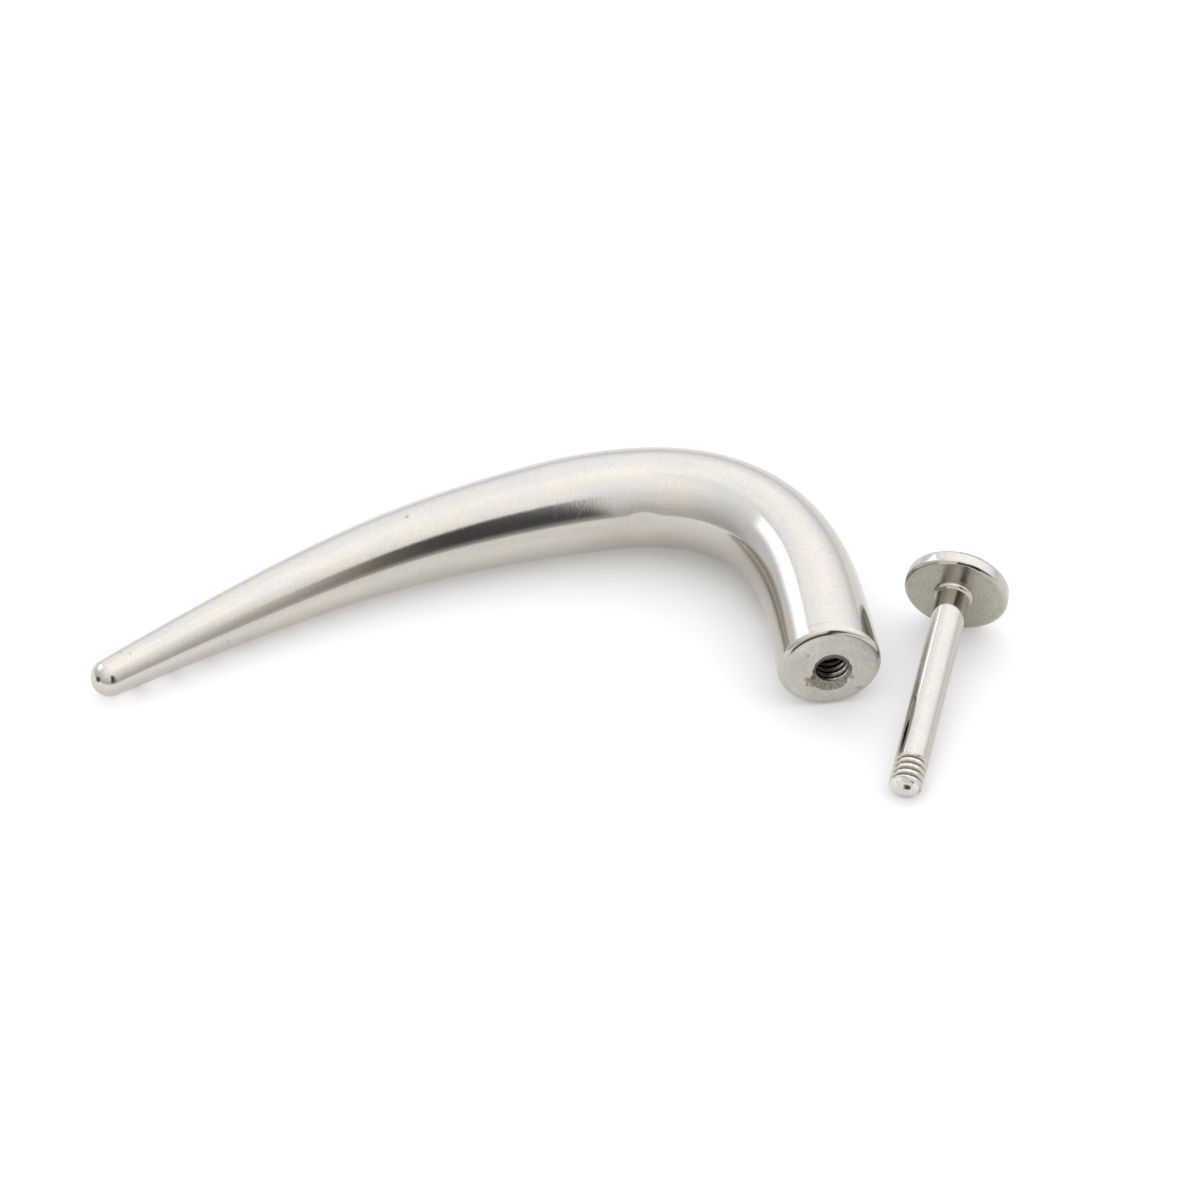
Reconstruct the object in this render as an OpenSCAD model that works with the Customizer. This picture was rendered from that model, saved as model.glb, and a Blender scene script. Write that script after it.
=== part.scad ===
// A claw labret in two pieces: a curved horn with a threaded flat end, and the flat-disc stud
// that screws into it. They lie unscrewed beside each other on a table, at z = 0.
// Millimetres, +Z up. The origin is the middle of the pair's outer box, on the table.

/* [Claw] */
// Length of the claw's middle line, from the flat end to the centre of the tip's ball
claw_len = 44.2; // [42:0.1:46]
// Radius of the claw just behind its flat end
end_r = 2.48; // [2.35:0.01:2.6]
// Radius of the rounded edge round the flat end
edge_r = 0.16; // [0.1:0.01:0.25]
// Share of the drawn bend that the claw makes
bend = 1; // [0.9:0.01:1.1]

/* [Threaded hole] */
// Radius of the hole's wall
hole_r = 0.8; // [0.7:0.01:0.9]
// Length of the hole's straight wall, from the flat end
hole_depth = 4; // [3:0.1:4.5]
// Radius of the shallow countersink at the flat end
sink_r = 1.12; // [1:0.01:1.3]
// Depth of the countersink
sink_depth = 0.18; // [0.1:0.01:0.3]
// How far the hole was drilled below the middle of the flat end
hole_drop = 0.3; // [0:0.01:0.35]
// How far it was drilled towards the outside of the bend
hole_side = 0.1; // [0:0.01:0.2]

/* [Stud] */
// Radius of the disc
disc_r = 2.5; // [2.3:0.01:2.7]
// Thickness of the disc
disc_t = 0.85; // [0.7:0.01:1]
// Radius of the disc's rounded back edge
disc_round = 0.35; // [0.2:0.01:0.5]
// Width of the small bevel round the disc's post side
disc_bevel = 0.05; // [0.03:0.01:0.1]
// Radius of the smooth post
post_r = 0.8; // [0.75:0.01:0.85]
// Length of the smooth post, from the disc to the first thread groove
post_len = 10.2; // [8:0.1:12]
// How far the post stands off the disc's centre
post_off = 0.08; // [0:0.01:0.15]
// Radius of the weld ring at the post's foot
weld_r = 0.97; // [0.9:0.01:1.1]
// Height of the weld ring
weld_h = 0.14; // [0.1:0.01:0.2]

/* [Thread] */
// Distance from one thread groove to the next
pitch = 0.35; // [0.3:0.01:0.4]
// Number of thread grooves
grooves = 4; // [3:1:6]
// Radius of the thread's crests
crest_r = 0.78; // [0.74:0.01:0.79]
// Depth of the thread grooves
groove_depth = 0.2; // [0.15:0.01:0.22]
// Width and height of the bevel at the post's end
tip_bevel = 0.18; // [0.1:0.01:0.25]
// Radius of the centre mark in the post's end
dimple_r = 0.2; // [0.1:0.01:0.3]
// Depth of the centre mark
dimple_depth = 0.16; // [0.1:0.01:0.25]

/* [Lying on the table] */
// Direction in which the claw runs on from its flat end, in degrees from +X
claw_heading = 97.7; // [90:0.1:105]
// Lean of the claw about X, in degrees
claw_roll = 2.2; // [0:0.05:4]
// Lean of the claw about Y, towards its tip, in degrees
claw_pitch = 2.5; // [0:0.05:4]
// Direction of the stud's post from -Y towards -X, in degrees
stud_heading = 12.6; // [5:0.1:20]
// From the centre of the claw's flat end to the post's foot, along X
gap_x = 5.95; // [5.5:0.05:8]
// From the centre of the claw's flat end to the post's foot, along Y
gap_y = 5.01; // [4:0.05:6]

/* [Hidden] */

// Facets of the claw: round its girth, along its body, round its edge and over its tip
SIDES = 40;
BODY_STEPS = 76;
EDGE_STEPS = 4;
TIP_STEPS = 7;
// Steps in the disc's rounded back edge, and in every turned circle
ROUND_STEPS = 6;
$fn = 64;
// How far a cut starts outside the face that it opens
CLEAR = 0.1;
// Half the angle of the drill's point, in degrees
DRILL_POINT = 59;

// The claw from its flat end to its tip. Columns: place along the middle line as a share of its
// length, direction there in degrees from the flat end's axis, radius as a share of end_r.
AT = 0;
TURN = 1;
GIRTH = 2;
CLAW_ROWS = [
    [0.00,   0.0, 1.000],
    [0.09,   3.0, 0.968],
    [0.18,  19.5, 0.968],
    [0.27,  50.5, 0.984],
    [0.36,  79.5, 0.972],
    [0.45,  94.0, 0.952],
    [0.57, 100.5, 0.839],
    [0.72, 110.0, 0.681],
    [0.88, 114.5, 0.504],
    [1.00, 116.0, 0.375]
];

// Value of one column at share x, on a smooth curve through the rows
function row_below(x, i = 0) =
    i < len(CLAW_ROWS) - 2 && x >= CLAW_ROWS[i + 1][AT] ? row_below(x, i + 1) : i;
function rise(col, i) =
    let (a = CLAW_ROWS[max(i - 1, 0)], b = CLAW_ROWS[min(i + 1, len(CLAW_ROWS) - 1)])
    (b[col] - a[col]) / (b[AT] - a[AT]);
function smooth_value(col, x) =
    let (i = row_below(x), a = CLAW_ROWS[i], b = CLAW_ROWS[i + 1])
    let (w = b[AT] - a[AT], t = (x - a[AT]) / w)
    a[col] * (2 * t ^ 3 - 3 * t ^ 2 + 1) + b[col] * (3 * t ^ 2 - 2 * t ^ 3)
    + w * rise(col, i) * (t ^ 3 - 2 * t ^ 2 + t) + w * rise(col, i + 1) * (t ^ 3 - t ^ 2);

function heading(x) = bend * smooth_value(TURN, min(x, 1));
function radius(x) = end_r * smooth_value(GIRTH, x);

// The middle line, walked in short straight steps
function step_from(i) =
    let (h = heading((i + 0.5) / BODY_STEPS))
    claw_len / BODY_STEPS * [cos(h), sin(h)];
middle = [for (i = 0, p = [0, 0]; i <= BODY_STEPS; p = p + step_from(i), i = i + 1) p];

// One ring of the skin: centre in the plane of the bend, direction, radius
function ring(c, h, r) = [for (k = [0 : SIDES - 1])
    let (a = 360 * k / SIDES) [c.x - r * cos(a) * sin(h), c.y + r * cos(a) * cos(h), r * sin(a)]];

tip_r = radius(1);
tip_turn = heading(1);
tip_dir = [cos(tip_turn), sin(tip_turn)];
edge_rings = [for (i = [0 : EDGE_STEPS - 1])
    let (a = 90 * i / EDGE_STEPS) ring([edge_r * (1 - cos(a)), 0], 0, end_r - edge_r * (1 - sin(a)))];
body_rings = [for (i = [1 : BODY_STEPS]) ring(middle[i], heading(i / BODY_STEPS), radius(i / BODY_STEPS))];
tip_middle = middle[BODY_STEPS];
tip_rings = [for (i = [1 : TIP_STEPS - 1])
    let (a = 90 * i / TIP_STEPS) ring(tip_middle + tip_r * sin(a) * tip_dir, tip_turn, tip_r * cos(a))];
skin_rings = concat(edge_rings, body_rings, tip_rings);
tip_point = tip_middle + tip_r * tip_dir;
claw_points = concat([for (r = skin_rings) each r], [[tip_point.x, tip_point.y, 0]]);

LAST = len(skin_rings) - 1;
function corner(i, k) = i * SIDES + k % SIDES;
claw_faces = concat(
    [[for (k = [0 : SIDES - 1]) k]],
    [for (i = [0 : LAST - 1], k = [0 : SIDES - 1]) each [
        [corner(i, k), corner(i + 1, k), corner(i + 1, k + 1)],
        [corner(i, k), corner(i + 1, k + 1), corner(i, k + 1)]]],
    [for (k = [0 : SIDES - 1]) [corner(LAST, k), len(claw_points) - 1, corner(LAST, k + 1)]]);

// Outlines of the stud's disc and post: radius, place along the post from the disc's flat side
disc_outline = concat(
    [[0, -disc_t]],
    [for (i = [0 : ROUND_STEPS]) let (a = 90 * i / ROUND_STEPS)
        [disc_r - disc_round * (1 - sin(a)), -disc_t + disc_round * (1 - cos(a))]],
    [[disc_r, -disc_bevel], [disc_r - disc_bevel, 0], [0, 0]]);
thread_end = post_len + grooves * pitch;
post_end = thread_end + tip_bevel;
post_outline = concat(
    [[0, -disc_t / 2], [weld_r, -disc_t / 2], [weld_r, weld_h / 4], [post_r, weld_h], [post_r, post_len]],
    [for (i = [0 : grooves - 1]) each [
        [crest_r, post_len + i * pitch],
        [crest_r - groove_depth, post_len + (i + 0.5) * pitch]]],
    [[crest_r, thread_end], [crest_r - tip_bevel, post_end]],
    [[dimple_r, post_end], [0, post_end - dimple_depth]]);

// The stud rests on its disc's edge and its last thread crest
stud_lean = atan((disc_r - crest_r) / (thread_end + disc_bevel));
stud_dir = [-sin(stud_heading) * cos(stud_lean), -cos(stud_heading) * cos(stud_lean), -sin(stud_lean)];
stud_lift = disc_r * cos(stud_lean) - disc_bevel * sin(stud_lean);

// A point of the claw after it has been turned by its heading, roll and pitch
function spun(p, a) = [p[0] * cos(a) - p[1] * sin(a), p[0] * sin(a) + p[1] * cos(a)];
function turned(p) =
    let (h = spun([p.x, p.y], claw_heading), r = spun([h.y, p.z], claw_roll))
    let (q = spun([h.x, r.y], claw_pitch))
    [q.x, r.x, q.y];
claw_skin = [for (p = claw_points) turned(p)];
claw_lift = -min([for (p = claw_skin) p.z]);

// The middle of the pair's outer box, from the centre of the claw's flat end
foot = [gap_x, gap_y];
disc_middle = foot + post_off * [cos(stud_heading), -sin(stud_heading)];
function reach(outline, at, axis, side) = [for (q = outline)
    at[axis] + stud_dir[axis] * q[1] + side * q[0] * sqrt(1 - stud_dir[axis] ^ 2)];
function limits(axis, side) = concat(
    [for (p = claw_skin) p[axis]],
    reach(disc_outline, disc_middle, axis, side),
    reach(post_outline, foot, axis, side));
function box_mid(axis) = (min(limits(axis, -1)) + max(limits(axis, 1))) / 2;
mid_x = box_mid(0);
mid_y = box_mid(1);

// The blind hole with its drill point and countersink, along +X from the flat end
flare = (sink_r - hole_r) / sink_depth;
hole_outline = [
    [0, -CLEAR],
    [sink_r + flare * CLEAR, -CLEAR],
    [hole_r, sink_depth],
    [hole_r, hole_depth],
    [0, hole_depth + hole_r / tan(DRILL_POINT)]
];
module threaded_hole() {
    translate([0, -hole_side, -hole_drop])
    rotate([0, 90, 0])
    rotate_extrude() polygon(hole_outline);
}

module claw() {
    color("silver")
    translate([-mid_x, -mid_y, claw_lift])
    rotate([claw_roll, -claw_pitch, 0])
    rotate([0, 0, claw_heading])
    difference() {
        polyhedron(points = claw_points, faces = claw_faces, convexity = 6);
        threaded_hole();
    }
}

module labret_stud() {
    color("lightgray")
    translate([gap_x - mid_x, gap_y - mid_y, stud_lift])
    rotate([90 + stud_lean, 0, -stud_heading]) {
        translate([post_off, 0, 0]) rotate_extrude() polygon(disc_outline);
        rotate_extrude() polygon(post_outline);
    }
}

claw();
labret_stud();
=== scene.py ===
# %% [markdown]
# # A claw labret, taken apart
# A claw labret is a lip stud. A polished steel horn screws onto a thin post that ends in a flat
# disc, and here the two lie unscrewed beside each other on a white table. The CAD model gives
# their true shapes and places. This lesson rebuilds both pieces with finer meshes, a real
# helical thread and the polish, scratches and stains of used steel, on exactly the same spots.

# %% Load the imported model
import math

import bmesh
import bpy
from mathutils import Matrix, Vector, noise


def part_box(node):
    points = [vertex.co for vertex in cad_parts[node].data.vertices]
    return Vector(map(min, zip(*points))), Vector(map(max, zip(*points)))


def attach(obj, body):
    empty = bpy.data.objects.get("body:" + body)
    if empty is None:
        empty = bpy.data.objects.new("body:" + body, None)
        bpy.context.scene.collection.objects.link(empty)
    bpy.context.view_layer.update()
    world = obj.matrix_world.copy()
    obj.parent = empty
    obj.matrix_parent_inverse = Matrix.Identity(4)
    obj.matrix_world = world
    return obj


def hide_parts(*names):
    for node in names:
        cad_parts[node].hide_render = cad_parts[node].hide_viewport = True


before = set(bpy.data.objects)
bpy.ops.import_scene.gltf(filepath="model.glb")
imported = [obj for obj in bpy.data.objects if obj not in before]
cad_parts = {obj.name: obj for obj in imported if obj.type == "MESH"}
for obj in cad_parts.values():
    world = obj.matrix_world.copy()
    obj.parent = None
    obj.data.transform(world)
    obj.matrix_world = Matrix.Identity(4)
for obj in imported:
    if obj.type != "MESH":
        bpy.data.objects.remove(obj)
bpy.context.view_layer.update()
print("nodes:", sorted(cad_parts))

# %% [markdown]
# ## The camera
# A close-up of something this small is taken with a long lens from well above the table. The
# ellipses of the round ends say how high the camera stood: 43 degrees. A long lens half a metre
# away gives the same nearly parallel view.

# %% Camera
QUARTER_TURN = math.radians(90)
CAMERA_HEIGHT = math.radians(43.3)
CAMERA_DISTANCE = 0.5
LOOK_AT = Vector((0.002324, 0.003454, 0.0))
LENS = 315
SENSOR = 36

to_camera = Vector((0, -math.cos(CAMERA_HEIGHT), math.sin(CAMERA_HEIGHT)))
camera = bpy.data.objects.new("camera", bpy.data.cameras.new("camera"))
camera.data.lens = LENS
camera.data.sensor_width = SENSOR
camera.data.clip_start = 0.01
camera.location = LOOK_AT + CAMERA_DISTANCE * to_camera
camera.rotation_euler = (QUARTER_TURN - CAMERA_HEIGHT, 0, 0)
bpy.context.scene.collection.objects.link(camera)
bpy.context.scene.camera = camera
print("frame is", round(1000 * CAMERA_DISTANCE * SENSOR / LENS, 1), "mm wide")

# %% [markdown]
# ## Modelling in millimetres
# Blender's unit is the metre, and these pieces are a few millimetres thick. They are modelled
# in millimetres, along handy axes, and only the finished mesh is turned, shrunk to metres and
# laid in its place. The CAD node's own box says where that is. Where two faces meet at a real
# corner, the edge is marked sharp, so that the smooth shading stops there.

# %% From a mesh in millimetres to a piece in its place
MM = 0.001
SHARP_ANGLE = math.radians(26)


def laid_in_place(bm, name, node, turn):
    """The finished piece: turned, in metres, with its box on the middle of the CAD node's box."""
    bmesh.ops.transform(bm, matrix=Matrix.Scale(MM, 4) @ turn, verts=bm.verts)
    low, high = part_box(node)
    own = [[v.co[axis] for v in bm.verts] for axis in range(3)]
    shift = [(low[a] + high[a] - min(own[a]) - max(own[a])) / 2 for a in range(2)]
    shift.append(low.z - min(own[2]))
    bmesh.ops.translate(bm, vec=shift, verts=bm.verts)
    bmesh.ops.recalc_face_normals(bm, faces=bm.faces)
    for face in bm.faces:
        face.smooth = True
    for edge in bm.edges:
        edge.smooth = edge.calc_face_angle(0) < SHARP_ANGLE
    mesh = bpy.data.meshes.new(name)
    bm.to_mesh(mesh)
    piece = bpy.data.objects.new(name, mesh)
    bpy.context.scene.collection.objects.link(piece)
    open_edges = sum(1 for e in bm.edges if not e.is_manifold)
    print(name, len(mesh.polygons), "faces,", open_edges, "open edges, volume",
          round(bm.calc_volume() / MM ** 3, 1), "mm3")
    bm.free()
    return piece


# %% [markdown]
# ## A straight ruler for patterns
# Scratches and polish follow the horn round its bend, but a pattern on plain coordinates would
# cut straight through it. So each corner of a mesh keeps an attribute, "straight": where that
# corner would be, in millimetres, if the horn were pulled straight. Its first number is the
# distance from the flat end. On the stud it is the place along the stud's own axes.

# %% The straight place of each corner
RULER = "straight"


def with_ruler():
    """An empty mesh whose corners can keep a straight place."""
    bm = bmesh.new()
    bm.verts.layers.float_vector.new(RULER)
    return bm


def keep_straight(bm, corners):
    """Notes where these corners are now as their straight place."""
    layer = bm.verts.layers.float_vector[RULER]
    for v in corners:
        v[layer] = v.co


# %% [markdown]
# ## The claw's outline
# The horn is a round bar that leaves its flat end straight, swings round through a good
# right angle, and thins to a blunt tip. A short table holds that: how far along, how far
# turned, how thick. A smooth curve through the rows gives every place between them, which is
# the same curve that the CAD model follows. The horn is six thousandths of a millimetre thinner
# than the CAD's, whose skin is faceted, so that this rounder skin stays inside the same box.

# %% The claw's table
CLAW_LENGTH = 44.2
END_RADIUS = 2.474
CLAW_ROWS = [
    # share of the length, degrees turned, radius as a share of the end's
    (0.00, 0.0, 1.000),
    (0.09, 3.0, 0.968),
    (0.18, 19.5, 0.968),
    (0.27, 50.5, 0.984),
    (0.36, 79.5, 0.972),
    (0.45, 94.0, 0.952),
    (0.57, 100.5, 0.839),
    (0.72, 110.0, 0.681),
    (0.88, 114.5, 0.504),
    (1.00, 116.0, 0.375),
]


def on_curve(column, share):
    """The value of a column at a share of the length, on a smooth curve through the rows."""
    last = len(CLAW_ROWS) - 1
    i = max(k for k in range(last) if k == 0 or share >= CLAW_ROWS[k][0])

    def slope(k):
        before, after = CLAW_ROWS[max(k - 1, 0)], CLAW_ROWS[min(k + 1, last)]
        return (after[column] - before[column]) / (after[0] - before[0])

    a, b = CLAW_ROWS[i], CLAW_ROWS[i + 1]
    width = b[0] - a[0]
    t = (share - a[0]) / width
    ends = a[column] * (2 * t ** 3 - 3 * t ** 2 + 1) + b[column] * (3 * t ** 2 - 2 * t ** 3)
    leaving = width * slope(i) * (t ** 3 - 2 * t ** 2 + t)
    arriving = width * slope(i + 1) * (t ** 3 - t ** 2)
    return ends + leaving + arriving


def heading(share):
    return math.radians(on_curve(1, share))


def radius(share):
    return END_RADIUS * on_curve(2, share)


print("tip radius", round(radius(1), 2), "mm, turned", round(on_curve(1, 1)), "degrees")

# %% [markdown]
# ## Growing the horn ring by ring
# A curve with a bevel would make this horn, but its rings would be hard to join to the hole.
# Here one circle is extruded again and again, and each new ring is moved on, turned and
# shrunk. The rounded edge of the flat end comes first, then the long body, and the rounded tip
# is the same move with the rings shrinking as on a ball. An extruded corner keeps the ruler of
# the corner that it came from, so only its distance and its size are new.

# %% Extruding a ring
SIDES = 128


def edges_of(corners):
    """The edges between these corners, each once, always in the same order."""
    chosen = set(corners)
    return list(dict.fromkeys(e for v in corners for e in v.link_edges
                              if e.verts[0] in chosen and e.verts[1] in chosen))


class Horn:
    """A horn that grows: its last ring of edges, that ring's middle, size and distance."""

    def __init__(self, bm, size, upright):
        circle = bmesh.ops.create_circle(bm, segments=SIDES, radius=size, matrix=upright)
        keep_straight(bm, circle["verts"])
        self.bm, self.size, self.place, self.distance = bm, size, Vector(), 0.0
        self.ring = edges_of(circle["verts"])

    def grow(self, place, size, distance, turn=Matrix()):
        """Extrudes the last ring to a new middle, size and distance, turned by a matrix."""
        made = bmesh.ops.extrude_edge_only(self.bm, edges=self.ring)["geom"]
        corners = [g for g in made if isinstance(g, bmesh.types.BMVert)]
        shrink = size / self.size
        about_middle = (Matrix.Translation(self.place) @ (turn @ Matrix.Scale(shrink, 4))
                        @ Matrix.Translation(-self.place))
        step = Matrix.Translation(place - self.place) @ about_middle
        bmesh.ops.transform(self.bm, matrix=step, verts=corners)
        layer = self.bm.verts.layers.float_vector[RULER]
        for v in corners:
            v[layer] = (distance, v[layer].y * shrink, v[layer].z * shrink)
        self.ring = [g for g in made if isinstance(g, bmesh.types.BMEdge) and g.is_boundary]
        self.place, self.size, self.distance = place, size, distance


# %% The claw's edge, body and tip
EDGE_RINGS, BODY_RINGS, TIP_RINGS = 10, 228, 14
EDGE_ROUND = 0.30
POLE_SIZE = 0.001
# Turns a circle's plane across the X axis, which is where the claw's flat end looks
ACROSS_X = Matrix.Rotation(QUARTER_TURN, 4, "Y")


def grow_claw(bm):
    """The claw's skin from its flat end to its tip, and the ring round its flat end."""
    horn = Horn(bm, END_RADIUS - EDGE_ROUND, ACROSS_X)
    rim = horn.ring
    for i in range(1, EDGE_RINGS + 1):
        a = QUARTER_TURN * i / EDGE_RINGS
        depth = EDGE_ROUND * (1 - math.cos(a))
        girth = radius(depth / CLAW_LENGTH)
        horn.grow(Vector((depth, 0, 0)), girth - EDGE_ROUND * (1 - math.sin(a)), depth)
    walked = horn.distance / CLAW_LENGTH
    for i in range(1, BODY_RINGS + 1):
        share = i / BODY_RINGS
        if share <= walked:
            continue
        way = heading((walked + share) / 2)
        stride = (share - walked) * CLAW_LENGTH * Vector((math.cos(way), math.sin(way), 0))
        turn = Matrix.Rotation(heading(share) - heading(walked), 4, "Z")
        horn.grow(horn.place + stride, radius(share), share * CLAW_LENGTH, turn)
        walked = share
    forward = Vector((math.cos(heading(1)), math.sin(heading(1)), 0))
    centre, ball = horn.place, horn.size
    for i in range(1, TIP_RINGS + 1):
        a = QUARTER_TURN * i / TIP_RINGS
        reach = ball * math.sin(a)
        size = max(ball * math.cos(a), POLE_SIZE)
        horn.grow(centre + reach * forward, size, CLAW_LENGTH + reach)
    pole = list(dict.fromkeys(v for e in horn.ring for v in e.verts))
    bmesh.ops.pointmerge(bm, verts=pole, merge_co=horn.place)
    print("claw's tip at", [round(c, 2) for c in horn.place], "mm from its flat end")
    return rim


# %% [markdown]
# ## A thread that really winds
# A turned outline, spun once round, gives a plain hole or a plain post. A thread is then
# pressed into its wall: each corner of the mesh moves in or out by how far round and how far
# along it lies, so the ridge climbs one pitch a turn. Rolled ridges are broad and rounded and
# the grooves between them narrow. Claw and stud use the same functions.

# %% Turned shapes
PITCH = 0.35
# A length that counts as none, and a small one
NOTHING, HAIR = 1e-6, 0.01


def faces_of(corners):
    return list(dict.fromkeys(f for v in corners for f in v.link_faces))


def spun(bm, outline):
    """Spins an outline of (radius, height) once round the Z axis, and returns its corners."""
    corners = [bmesh.ops.create_vert(bm, co=(r, 0, h))["vert"][0] for r, h in outline]
    edges = [bm.edges.new(pair) for pair in zip(corners, corners[1:])]
    before = set(bm.verts) - set(corners)
    bmesh.ops.spin(bm, geom=corners + edges, cent=(0, 0, 0), axis=(0, 0, 1),
                   angle=math.tau, steps=SIDES, use_merge=True)
    poles = [v for v in bm.verts if v not in before and v.co.xy.length < NOTHING]
    bmesh.ops.remove_doubles(bm, verts=poles, dist=10 * NOTHING)
    made = [v for v in bm.verts if v not in before]
    bmesh.ops.recalc_face_normals(bm, faces=faces_of(made))
    return made


def evenly(start, end, steps):
    return [start + (end - start) * i / steps for i in range(steps + 1)]


def arc(centre, size, start, end, steps):
    """Points on a round corner of an outline, from one angle to another, in degrees."""
    angles = [math.radians(a) for a in evenly(start, end, steps)]
    return [(centre[0] + size * math.cos(a), centre[1] + size * math.sin(a)) for a in angles]


# %% Pressing a thread
GROOVE_SHARE = 0.62
GROOVE_CURVE = 1.5


def groove(turns):
    """How deep a thread is cut after this many turns along it, from 0 on a ridge to 1."""
    off_middle = abs(2 * (turns % 1.0) - 1)
    return max(0.0, 1 - (off_middle / GROOVE_SHARE) ** GROOVE_CURVE)


def cut_thread(corners, start, end, depth, fade_in, fade_out, turned=0.0):
    """Presses a thread of that depth into the wall between two heights."""
    for v in corners:
        h, r = v.co.z, v.co.xy.length
        if start < h < end and r > NOTHING:
            fade = min(1, (h - start) / fade_in, (end - h) / fade_out)
            round_it = math.atan2(v.co.y, v.co.x) / math.tau
            new = r + depth * fade * groove(h / PITCH - round_it + turned)
            v.co.x, v.co.y = v.co.x * new / r, v.co.y * new / r


# %% [markdown]
# ## The torn mouth of the hole
# The hole was drilled a little off centre, and its mouth was opened out by hand: it is an oval,
# taller than it is wide, chipped at its lower left, with a small burr left standing at its lower
# right. The spun hole gets a round ring on the flat end and a few rings down to the first
# thread. The rings of the mouth are then pulled out to that torn outline.

# %% The mouth's torn outline
HOLE_AT = Vector((0, -0.10, -0.26))
HOLE_RADIUS = 0.76
MOUTH_WIDE, MOUTH_TALL, MOUTH_DEPTH, MOUTH_DROP = 0.95, 1.18, 0.15, 0.04
FACE_RING = 1.62
# Two chips and the burr: direction and width in degrees, and how much further out it reaches
CHIPS = [(206, 30, 0.20), (238, 26, 0.10), (322, 20, -0.12)]
# Noise round the mouth: how fine, taken where, how much
RAGS = [(5, 3.1, 0.05), (14, 8.4, 0.035)]
GRIT = 0.05


def swell(angle, middle, width):
    """1 at an angle and 0 beyond a width on either side of it, smooth between, in degrees."""
    off = abs((math.degrees(angle) - middle + 180) % 360 - 180) / width
    return (1 + math.cos(math.pi * min(off, 1))) / 2


def mouth_reach(angle):
    """How far the mouth reaches from the hole's middle: 0 is the viewer's right, 90 is up."""
    reach = 1 / math.hypot(math.cos(angle) / MOUTH_WIDE, math.sin(angle) / MOUTH_TALL)
    for middle, width, amount in CHIPS:
        reach += amount * swell(angle, middle, width)
    for fine, seed, amount in RAGS:
        spot = Vector((fine * math.cos(angle), fine * math.sin(angle), seed))
        reach += amount * noise.noise(spot)
    return reach


def tear_mouth(corners):
    """Pulls the rings of the hole's mouth out to the torn outline."""
    for v in corners:
        share = 1 - v.co.z / MOUTH_DEPTH
        if v.co.xy.length > FACE_RING - HAIR or share <= 0:
            continue
        angle = math.atan2(-v.co.x, -v.co.y)
        new = HOLE_RADIUS + (mouth_reach(angle) - HOLE_RADIUS) * share
        v.co.x, v.co.y = MOUTH_DROP * share - new * math.sin(angle), -new * math.cos(angle)
        grit = noise.noise(Vector((3 * v.co.x, 3 * v.co.y, 7.3)) * 3)
        v.co.z += GRIT * grit * math.sin(math.pi * min(share, 1))


# %% The hole in the claw's flat end
THREAD_DEPTH, HOLE_DEPTH = 0.12, 4.0
DRILL_POINT = HOLE_RADIUS / math.tan(math.radians(59))
MOUTH_RINGS, WALL_RINGS = 7, 176
MOUTH_START, MOUTH_CURVE = 1.1, 1.3


def drill_hole(bm):
    """The torn, threaded hole, mouth on x = 0, the ring round it, and its faces by kind."""
    outline = [(FACE_RING, 0)]
    for i in range(MOUTH_RINGS + 1):
        r = MOUTH_START + (HOLE_RADIUS - MOUTH_START) * i / MOUTH_RINGS
        outline.append((r, MOUTH_DEPTH * (i / MOUTH_RINGS) ** MOUTH_CURVE))
    outline += [(HOLE_RADIUS, h) for h in evenly(MOUTH_DEPTH, HOLE_DEPTH, WALL_RINGS)[1:]]
    outline += [(0, HOLE_DEPTH + DRILL_POINT)]
    corners = spun(bm, outline)
    ring = edges_of([v for v in corners if v.co.xy.length > FACE_RING - HAIR])
    flat = [f for f in faces_of(corners) if all(abs(v.co.z) < NOTHING for v in f.verts)]
    torn = [f for f in faces_of(corners)
            if f not in flat and all(v.co.z < MOUTH_DEPTH + NOTHING for v in f.verts)]
    cut_thread(corners, MOUTH_DEPTH, HOLE_DEPTH, THREAD_DEPTH, fade_in=0.05, fade_out=0.5)
    tear_mouth(corners)
    bmesh.ops.transform(bm, matrix=Matrix.Translation(HOLE_AT) @ ACROSS_X, verts=corners)
    keep_straight(bm, corners)
    bmesh.ops.reverse_faces(bm, faces=faces_of(corners))
    return ring, flat, torn


# %% [markdown]
# ## Dents
# The horn has been knocked: light bends round one broad dent on the inside of its bend, and
# round two small ones towards its tip. Each is pressed into the skin along its normals.

# %% Pressing a dent
DENTS = [
    # straight place of its middle, reach, depth
    ((16.4, 2.28, 0.55), 1.25, 0.06),
    ((38.4, 1.27, 0.05), 0.35, 0.010),
    ((43.2, -0.1, 0.97), 0.22, 0.010),
]


def dent(bm, corners, centre, reach, depth):
    """Presses a round dent of that reach and depth into the skin round a straight place."""
    layer = bm.verts.layers.float_vector[RULER]
    for v in corners:
        near = min((v[layer] - Vector(centre)).length / reach, 1)
        v.co -= v.normal * depth * (1 + math.cos(math.pi * near)) / 2


# %% The whole claw, laid on the table
CLAW_TURN = (Matrix.Rotation(math.radians(-2.5), 4, "Y")
             @ Matrix.Rotation(math.radians(2.2), 4, "X")
             @ Matrix.Rotation(math.radians(97.7), 4, "Z"))
# Material numbers of the claw's faces. The skin's is 0
FLAT_END, HOLE_WALL, MOUTH = 1, 2, 3

bm = with_ruler()
rim = grow_claw(bm)
bmesh.ops.recalc_face_normals(bm, faces=bm.faces)
bm.normal_update()
for centre, reach, depth in DENTS:
    dent(bm, bm.verts, centre, reach, depth)
skin_faces = len(bm.faces)
ring, flat, torn = drill_hole(bm)
for face in bm.faces[skin_faces:]:
    face.material_index = HOLE_WALL
for face in torn:
    face.material_index = MOUTH
flat += bmesh.ops.bridge_loops(bm, edges=rim + ring)["faces"]
for face in flat:
    face.material_index = FLAT_END
claw = laid_in_place(bm, "claw_horn", "claw", CLAW_TURN)

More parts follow.
